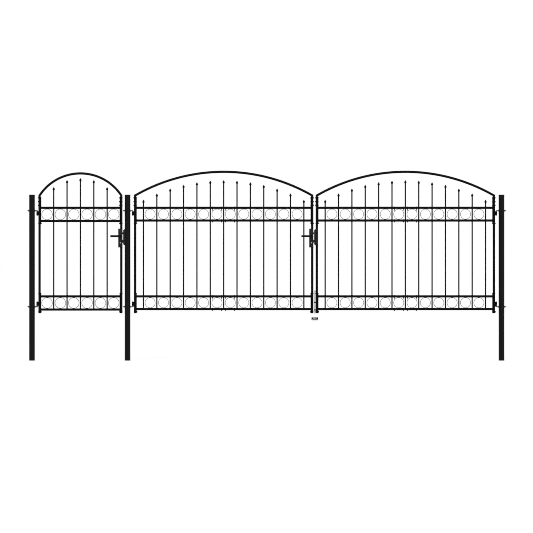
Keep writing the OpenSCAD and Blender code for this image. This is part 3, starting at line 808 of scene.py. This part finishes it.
def add_rail_end_welds(bm, leaf):
    """Welds along the four sides of each rail's ends."""
    reach = RAIL_HALF + 0.0005
    corners = [(-reach, -reach), (reach, -reach), (reach, reach), (-reach, reach)]
    for x, inner in leaf.stiles:
        face = x + inner * (PLATE_FACE + 0.0004)
        for z in leaf.rails:
            for (y0, z0), (y1, z1) in zip(corners, corners[1:] + corners[:1]):
                bead(bm, (face, y0, z + z0), (face, y1, z + z1), 0.0015)


def add_plate_welds(bm, leaf):
    """Stitch welds along both edges of the end plates, where they lap the stiles."""
    levels = (
        (STILE_FOOT + 0.006, LOW_RAIL_Z + RAIL_HALF + PLATE_TAIL - 0.004),
        (leaf.rails[2] - RAIL_HALF - PLATE_TAIL + 0.004, PLATE_TOP - 0.006),
    )
    lap = math.sqrt(STILE_R ** 2 - PLATE_BACK ** 2)
    for x, inner in leaf.stiles:
        for foot, top in levels:
            for hand in (-1, 1):
                at = (x + inner * (PLATE_BACK - 0.0002), hand * (lap + 0.0012))
                stitches(bm, (*at, foot), (*at, top), 0.0017, 0.026, 0.030)


def add_mitre_welds(bm, leaf):
    """Welds round the slanted joints of the arch and the stiles."""
    slope = leaf.mitre_slope()
    for x, inner in leaf.stiles:
        def lift(out, inner=inner):
            return -out.x * inner * slope * STILE_R
        ring_bead(bm, (x, 0, SPRING_Z), Z_AXIS, STILE_R + 0.0002, 0.0013, 28, lift)


def add_eye_welds(bm, leaf):
    """Welds down both sides of the hinge eyes' straps."""
    stile_x = leaf.x1 if leaf is RIGHT else leaf.x0
    way = 1 if leaf.hinge_x > stile_x else -1
    strap_half = 0.005
    reach = math.sqrt(STILE_R ** 2 - strap_half ** 2)
    feet = (LOWER_BOLT_Z + PIN_R + 0.004, UPPER_BOLT_Z - PIN_R - 0.0015 - EYE_H)
    for foot in feet:
        for hand in (-1, 1):
            at = (stile_x + way * reach, hand * (strap_half + 0.0006))
            bead(bm, (*at, foot + 0.001), (*at, foot + EYE_H - 0.001), 0.0016)


def add_box_welds(bm, x, foot, top):
    """Welds round a stile's two ends at the box in its line."""
    for z in (foot, top):
        ring_bead(bm, (x, 0, z), Z_AXIS, STILE_R + 0.0006, 0.0018, 24)


def make_frame_welds(leaf):
    """All the welds on a leaf's frame, and those of the lock or keeper in its line."""
    bm = bmesh.new()
    add_rail_end_welds(bm, leaf)
    add_plate_welds(bm, leaf)
    add_mitre_welds(bm, leaf)
    add_eye_welds(bm, leaf)
    if leaf is RIGHT:
        add_box_welds(bm, leaf.x0, KEEPER_Z, KEEPER_TOP)
        guide_half = 0.005
        for z in GUIDE_Z:
            for hand in (-1, 1):
                at = (leaf.x0 - STILE_R + 0.0006, hand * (guide_half + 0.0002))
                bead(bm, (*at, z - guide_half), (*at, z + guide_half), 0.0014)
    else:
        add_box_welds(bm, leaf.x1, CASE_Z, CASE_TOP)
    finish_piece(leaf.name + "_frame_welds", bm, "leaf_black", leaf.body, SMOOTH_WELD)


# Locks and drop bolt

def make_case_covers(name, leaf):
    """Cover sheet with rounded edges on both faces of a lock case, held by slotted screws."""
    bm = bmesh.new()
    low_x = leaf.x1 + CASE_BACK + 0.0025
    high_x = leaf.x1 + STILE_R - 0.0025
    low_z = CASE_Z + 0.0015
    high_z = CASE_TOP - 0.0015
    sheet = [(low_x, low_z), (high_x, low_z), (high_x, high_z), (low_x, high_z)]
    inset_x = 0.006
    inset_z = 0.0075
    for hand in (-1, 1):
        inner = hand * (CASE_HALF_DEPTH - 0.0003)
        outer = hand * (CASE_HALF_DEPTH + 0.0009)
        eased_prism(bm, sheet, Y_AXIS, inner, outer, 0.0005)
        for x in (low_x + inset_x, high_x - inset_x):
            for z in (low_z + inset_z, high_z - inset_z):
                screw_head(bm, (x, outer, z), Y_AXIS * hand, 0.0032, 0.0012)
    finish_piece(name + "_case_covers", bm, "lock_black", leaf.body)


def make_rosettes(name, leaf):
    """Collars on the case around the lever's neck."""
    bm = bmesh.new()
    for hand in (-1, 1):
        seat = (leaf.x1 + LEVER_X, hand * (CASE_HALF_DEPTH + 0.0006), LEVER_Z)
        lathe(bm, seat, Y_AXIS * hand, [
            (0.0174, 0.0), (0.0178, 0.0006), (0.0178, 0.0014), (0.0170, 0.0021), (0.0138, 0.0025),
            (0.0136, 0.0012),
        ], 40)
    finish_piece(name + "_lever_collars", bm, "lock_black", leaf.body)


def lever_line(reach):
    """Places and sizes along a lever: out from the case, round the bend and along to the tip."""
    bend = 0.014
    bend_steps = 8
    grip_r = 0.0101
    rounding = 0.008
    neck = CASE_HALF_DEPTH + 0.0012
    tip = LEVER_LENGTH - rounding
    line = [(0.0, neck, 0.0098), (0.0, neck + 0.0018, 0.0112), (0.0, neck + 0.005, 0.0110),
            (0.0, reach - bend - 0.002, 0.0102)]
    for i in range(1, bend_steps):
        angle = math.pi / 2 * i / bend_steps
        line.append((-bend * (1 - math.cos(angle)), reach - bend * (1 - math.sin(angle)), grip_r))
    for share, size in ((0.0, 0.0100), (0.25, grip_r), (0.6, 0.0105), (0.85, 0.0105), (1.0, grip_r)):
        line.append((-(bend + (tip - bend) * share), reach, size))
    for turn in (0.35, 0.65, 0.9, 1.0):
        angle = turn * math.pi / 2
        size = grip_r * max(0.22, math.cos(angle) ** 0.7)
        line.append((-(tip + rounding * math.sin(angle)), reach, size))
    return line


def make_lever_handles(name, leaf):
    """Pair of bent levers with drawn-in necks and rounded ends, on one spindle."""
    bm = bmesh.new()
    pivot = Vector((leaf.x1 + LEVER_X, 0, LEVER_Z))
    spindle_r = 0.0045
    spindle_half = CASE_HALF_DEPTH + 0.004
    ease = 0.0003
    lathe(bm, pivot, Y_AXIS, [
        (spindle_r - ease, -spindle_half), (spindle_r, ease - spindle_half),
        (spindle_r, spindle_half - ease), (spindle_r - ease, spindle_half),
    ], 20)
    line = lever_line(CASE_HALF_DEPTH + LEVER_OUT)
    for hand in (-1, 1):
        loops = []
        for i, (x, y, size) in enumerate(line):
            ahead = line[min(i + 1, len(line) - 1)]
            back = line[max(i - 1, 0)]
            along = Vector((ahead[0] - back[0], (ahead[1] - back[1]) * hand, 0)).normalized()
            across = Z_AXIS.cross(along)
            centre = pivot + Vector((x, y * hand, 0))
            loops.append(circle(bm, centre, across, Z_AXIS, size, 24))
        skin_over(bm, loops)
    piece = finish_piece(name + "_lever_handles", bm, "lever_black", name + "_lever", 50.0)
    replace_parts(piece, name + "_lever")


def make_escutcheons(name, leaf):
    """Rounded plates over the key cylinder, each with a lipped mouth that shows its plug."""
    bm = bmesh.new()
    sides = 48
    bore = KEY_R + 0.0003
    lip = 0.0063
    rim = 0.0128
    stretch = 0.0075
    low_y = CASE_HALF_DEPTH + 0.0006
    lip_y = CASE_HALF_DEPTH + KEY_OUT + 0.0001
    high_y = CASE_HALF_DEPTH + KEY_OUT + 0.0010
    centre = Vector((leaf.x1 + KEY_X, 0, KEY_Z))
    # Radius, level and stretch of each loop, from the bore over the rim to the lip and back to the bore
    section = (
        (bore, low_y, 0.0), (rim, low_y, stretch), (rim, high_y - 0.0010, stretch),
        (rim - 0.0009, high_y - 0.0002, stretch), (rim - 0.0016, high_y, stretch),
        (lip + 0.0005, high_y, 0.0), (lip, high_y - 0.0005, 0.0), (lip, lip_y, 0.0), (bore, lip_y, 0.0),
    )
    for hand in (-1, 1):
        rings = []
        for radius, level, drop in section:
            points = []
            for a in turns(sides):
                a += math.pi / sides
                z = math.sin(a) * radius - (drop if math.sin(a) < 0 else 0.0)
                points.append(centre + Vector((math.cos(a) * radius, level * hand, z)))
            rings.append(add_loop(bm, points))
        skin_over(bm, rings, closed=True)
    finish_piece(name + "_key_escutcheons", bm, "lock_black", leaf.body)


def make_cylinder_plugs(name, leaf):
    """Turned plug with a keyway on each face of the key cylinder."""
    bm = bmesh.new()
    sides = 32
    slot_w = 0.0008
    slot_h = 0.0038
    plug_r = 0.0060
    front = 0.0014
    floor = -0.0010
    for hand in (-1, 1):
        face = Vector((leaf.x1 + KEY_X, hand * (CASE_HALF_DEPTH + KEY_OUT), KEY_Z))
        out = Y_AXIS * hand
        rings = []
        for radius, level in ((plug_r, -0.0004), (plug_r, 0.0010), (plug_r - 0.0005, front)):
            rings.append(circle(bm, face + out * level, X_AXIS, Z_AXIS, radius, sides))
        for level in (front, floor):
            points = []
            for a in turns(sides):
                x = slot_w * math.copysign(math.sqrt(abs(math.cos(a))), math.cos(a))
                z = slot_h * math.copysign(math.sqrt(abs(math.sin(a))), math.sin(a))
                points.append(face + out * level + Vector((x, 0, z)))
            rings.append(add_loop(bm, points))
        skin_over(bm, rings)
    finish_piece(name + "_cylinder_plugs", bm, "nickel", leaf.body)


def make_lock_bolts(name, leaf):
    """Latch with a slanted nose that leads as the leaf closes, and a dead bolt with a tall head."""
    tail = leaf.x1 + BOLT_TAIL
    nose = leaf.x1 + BOLT_NOSE
    head = leaf.x1 + DEAD_HEAD_X
    latch = bmesh.new()
    half = 0.006
    slant = [(tail, -half), (nose - 0.007, -half), (nose, 0.002), (nose, half), (tail, half)]
    eased_prism(latch, slant, Z_AXIS, LATCH_Z - LATCH_HALF, LATCH_Z + LATCH_HALF, 0.0006)
    piece = finish_piece(name + "_latch_bar", latch, "lock_black", name + "_latch")
    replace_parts(piece, name + "_latch")
    dead = bmesh.new()
    dead_half = 0.005
    stepped = [(tail, DEAD_TAIL_FOOT), (head, DEAD_TAIL_FOOT), (head, DEAD_FOOT), (nose, DEAD_FOOT),
               (nose, DEAD_TOP), (tail, DEAD_TOP)]
    eased_prism(dead, stepped, Y_AXIS, -dead_half, dead_half, 0.0008)
    piece = finish_piece(name + "_dead_bolt_bar", dead, "lock_black", name + "_dead_bolt")
    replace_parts(piece, name + "_dead_bolt")


def make_drop_bolt_grip():
    """Ribbed sleeve on the drop bolt's bent handle."""
    bm = bmesh.new()
    low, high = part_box("drop_bolt")
    start = low.y + 0.001
    mouth = ROD_R + 0.0002
    sleeve = ROD_R + 0.0012
    rib = ROD_R + 0.0018
    profile = [(mouth, 0.0), (sleeve, 0.0006)]
    for i in range(5):
        at = 0.0020 + 0.0036 * i
        profile += [(sleeve, at), (rib, at + 0.0008), (sleeve, at + 0.0020)]
    profile += [(sleeve, 0.0202), (mouth, 0.0208)]
    lathe(bm, (ROD_X, start, high.z - ROD_R), Y_AXIS, profile, 28)
    finish_piece("drop_bolt_grip", bm, "lever_black", "drop_bolt")


# Studio

VIEW_X = 1.466
VIEW_Z = 0.992


def make_camera():
    """Long lens square to the row, so that the front reads as in the photograph."""
    lens = 200.0
    sensor = 36.0
    view_width = 5.623
    camera = bpy.data.objects.new("front_camera", bpy.data.cameras.new("front_camera"))
    camera.data.lens = lens
    camera.data.sensor_width = sensor
    camera.data.clip_end = 300.0
    camera.location = (VIEW_X, -view_width * lens / sensor, VIEW_Z)
    camera.rotation_euler = (math.pi / 2, 0, 0)
    bpy.context.scene.collection.objects.link(camera)
    bpy.context.scene.camera = camera


def seen_directly(tree):
    """1 for camera, mirror and see-through rays, which meet a plain white surround."""
    path = tree.nodes.new("ShaderNodeLightPath").outputs
    seen = maths(tree, "MAXIMUM", path["Is Camera Ray"], path["Is Glossy Ray"])
    return maths(tree, "MAXIMUM", seen, path["Is Transmission Ray"])


def make_world():
    """White surround, at a lower level for the light that it throws on the gates."""
    ambient = 0.5
    world = bpy.data.worlds.new("white_surround")
    bpy.context.scene.world = world
    world.use_nodes = True
    tree = world.node_tree
    background = tree.nodes["Background"]
    background.inputs["Color"].default_value = (1, 1, 1, 1)
    strength = maths(tree, "MULTIPLY_ADD", seen_directly(tree), 1 - ambient, ambient)
    tree.links.new(strength, background.inputs["Strength"])


def make_floor():
    """Pale floor under the posts that shows white to the camera and keeps a soft shadow."""
    half = 30.0
    level = -0.0005
    bm = bmesh.new()
    corners = ((-half, -half), (half, -half), (half, half), (-half, half))
    bm.faces.new(add_loop(bm, [(VIEW_X + x, y, level) for x, y in corners]))
    mesh = bpy.data.meshes.new("floor")
    bm.to_mesh(mesh)
    bm.free()
    floor = bpy.data.objects.new("floor", mesh)
    bpy.context.scene.collection.objects.link(floor)
    material, tree, shader = start_material("pale_floor")
    shader["Base Color"].default_value = grey(0.8)
    shader["Roughness"].default_value = 0.9
    shader["Specular IOR Level"].default_value = 0.0
    shadowed = tree.nodes.new("ShaderNodeBsdfDiffuse")
    shadowed.inputs["Color"].default_value = grey(0.36)
    white = tree.nodes.new("ShaderNodeEmission")
    white.inputs["Color"].default_value = grey(1.0)
    white.inputs["Strength"].default_value = 0.68
    both = tree.nodes.new("ShaderNodeAddShader")
    tree.links.new(shadowed.outputs["BSDF"], both.inputs[0])
    tree.links.new(white.outputs["Emission"], both.inputs[1])
    pick = tree.nodes.new("ShaderNodeMixShader")
    tree.links.new(seen_directly(tree), pick.inputs["Fac"])
    tree.links.new(tree.nodes["Principled BSDF"].outputs["BSDF"], pick.inputs[1])
    tree.links.new(both.outputs["Shader"], pick.inputs[2])
    tree.links.new(pick.outputs["Shader"], tree.nodes["Material Output"].inputs["Surface"])
    mesh.materials.append(material)


def make_light(name, towards, strength, spread):
    """Soft even light from one direction."""
    data = bpy.data.lights.new(name, "SUN")
    data.energy = strength
    data.angle = math.radians(spread)
    lamp = bpy.data.objects.new(name, data)
    lamp.rotation_euler = Vector(towards).to_track_quat("-Z", "Y").to_euler()
    bpy.context.scene.collection.objects.link(lamp)


def make_studio():
    """Surround, floor, lights and camera, with a pixel filter that keeps thin bars dark."""
    crisp_filter = 0.9
    bpy.context.scene.view_settings.view_transform = "Standard"
    bpy.context.scene.cycles.filter_width = crisp_filter
    make_camera()
    make_world()
    make_floor()
    make_light("key_light", (0.35, 1.0, -0.8), strength=1.6, spread=30.0)
    make_light("fill_light", (-0.6, 1.0, -0.4), strength=0.8, spread=50.0)
    make_light("back_light", (-0.3, -1.0, -0.9), strength=0.6, spread=40.0)


# Assembly

def paint_solids():
    """Gives each solid the finish of its slot."""
    for part in frame["record"]["subparts"]:
        solid = frame["nodes"][part["node"]]
        solid.data.materials.clear()
        solid.data.materials.append(FINISH[part["material_slot"]])


make_studio()
paint_solids()
make_caps()
make_hinge_hardware()
make_post_keeper_welds()
make_socket_stops()
for each_leaf in LEAVES:
    make_plate_bolts(each_leaf)
    make_picket_welds(each_leaf)
    make_ring_welds(each_leaf)
    make_frame_welds(each_leaf)
make_splice_bolts(LEFT)
make_splice_bolts(RIGHT)
for lock_name, lock_leaf in LOCKS:
    make_case_covers(lock_name, lock_leaf)
    make_rosettes(lock_name, lock_leaf)
    make_lever_handles(lock_name, lock_leaf)
    make_escutcheons(lock_name, lock_leaf)
    make_cylinder_plugs(lock_name, lock_leaf)
    make_lock_bolts(lock_name, lock_leaf)
make_drop_bolt_grip()
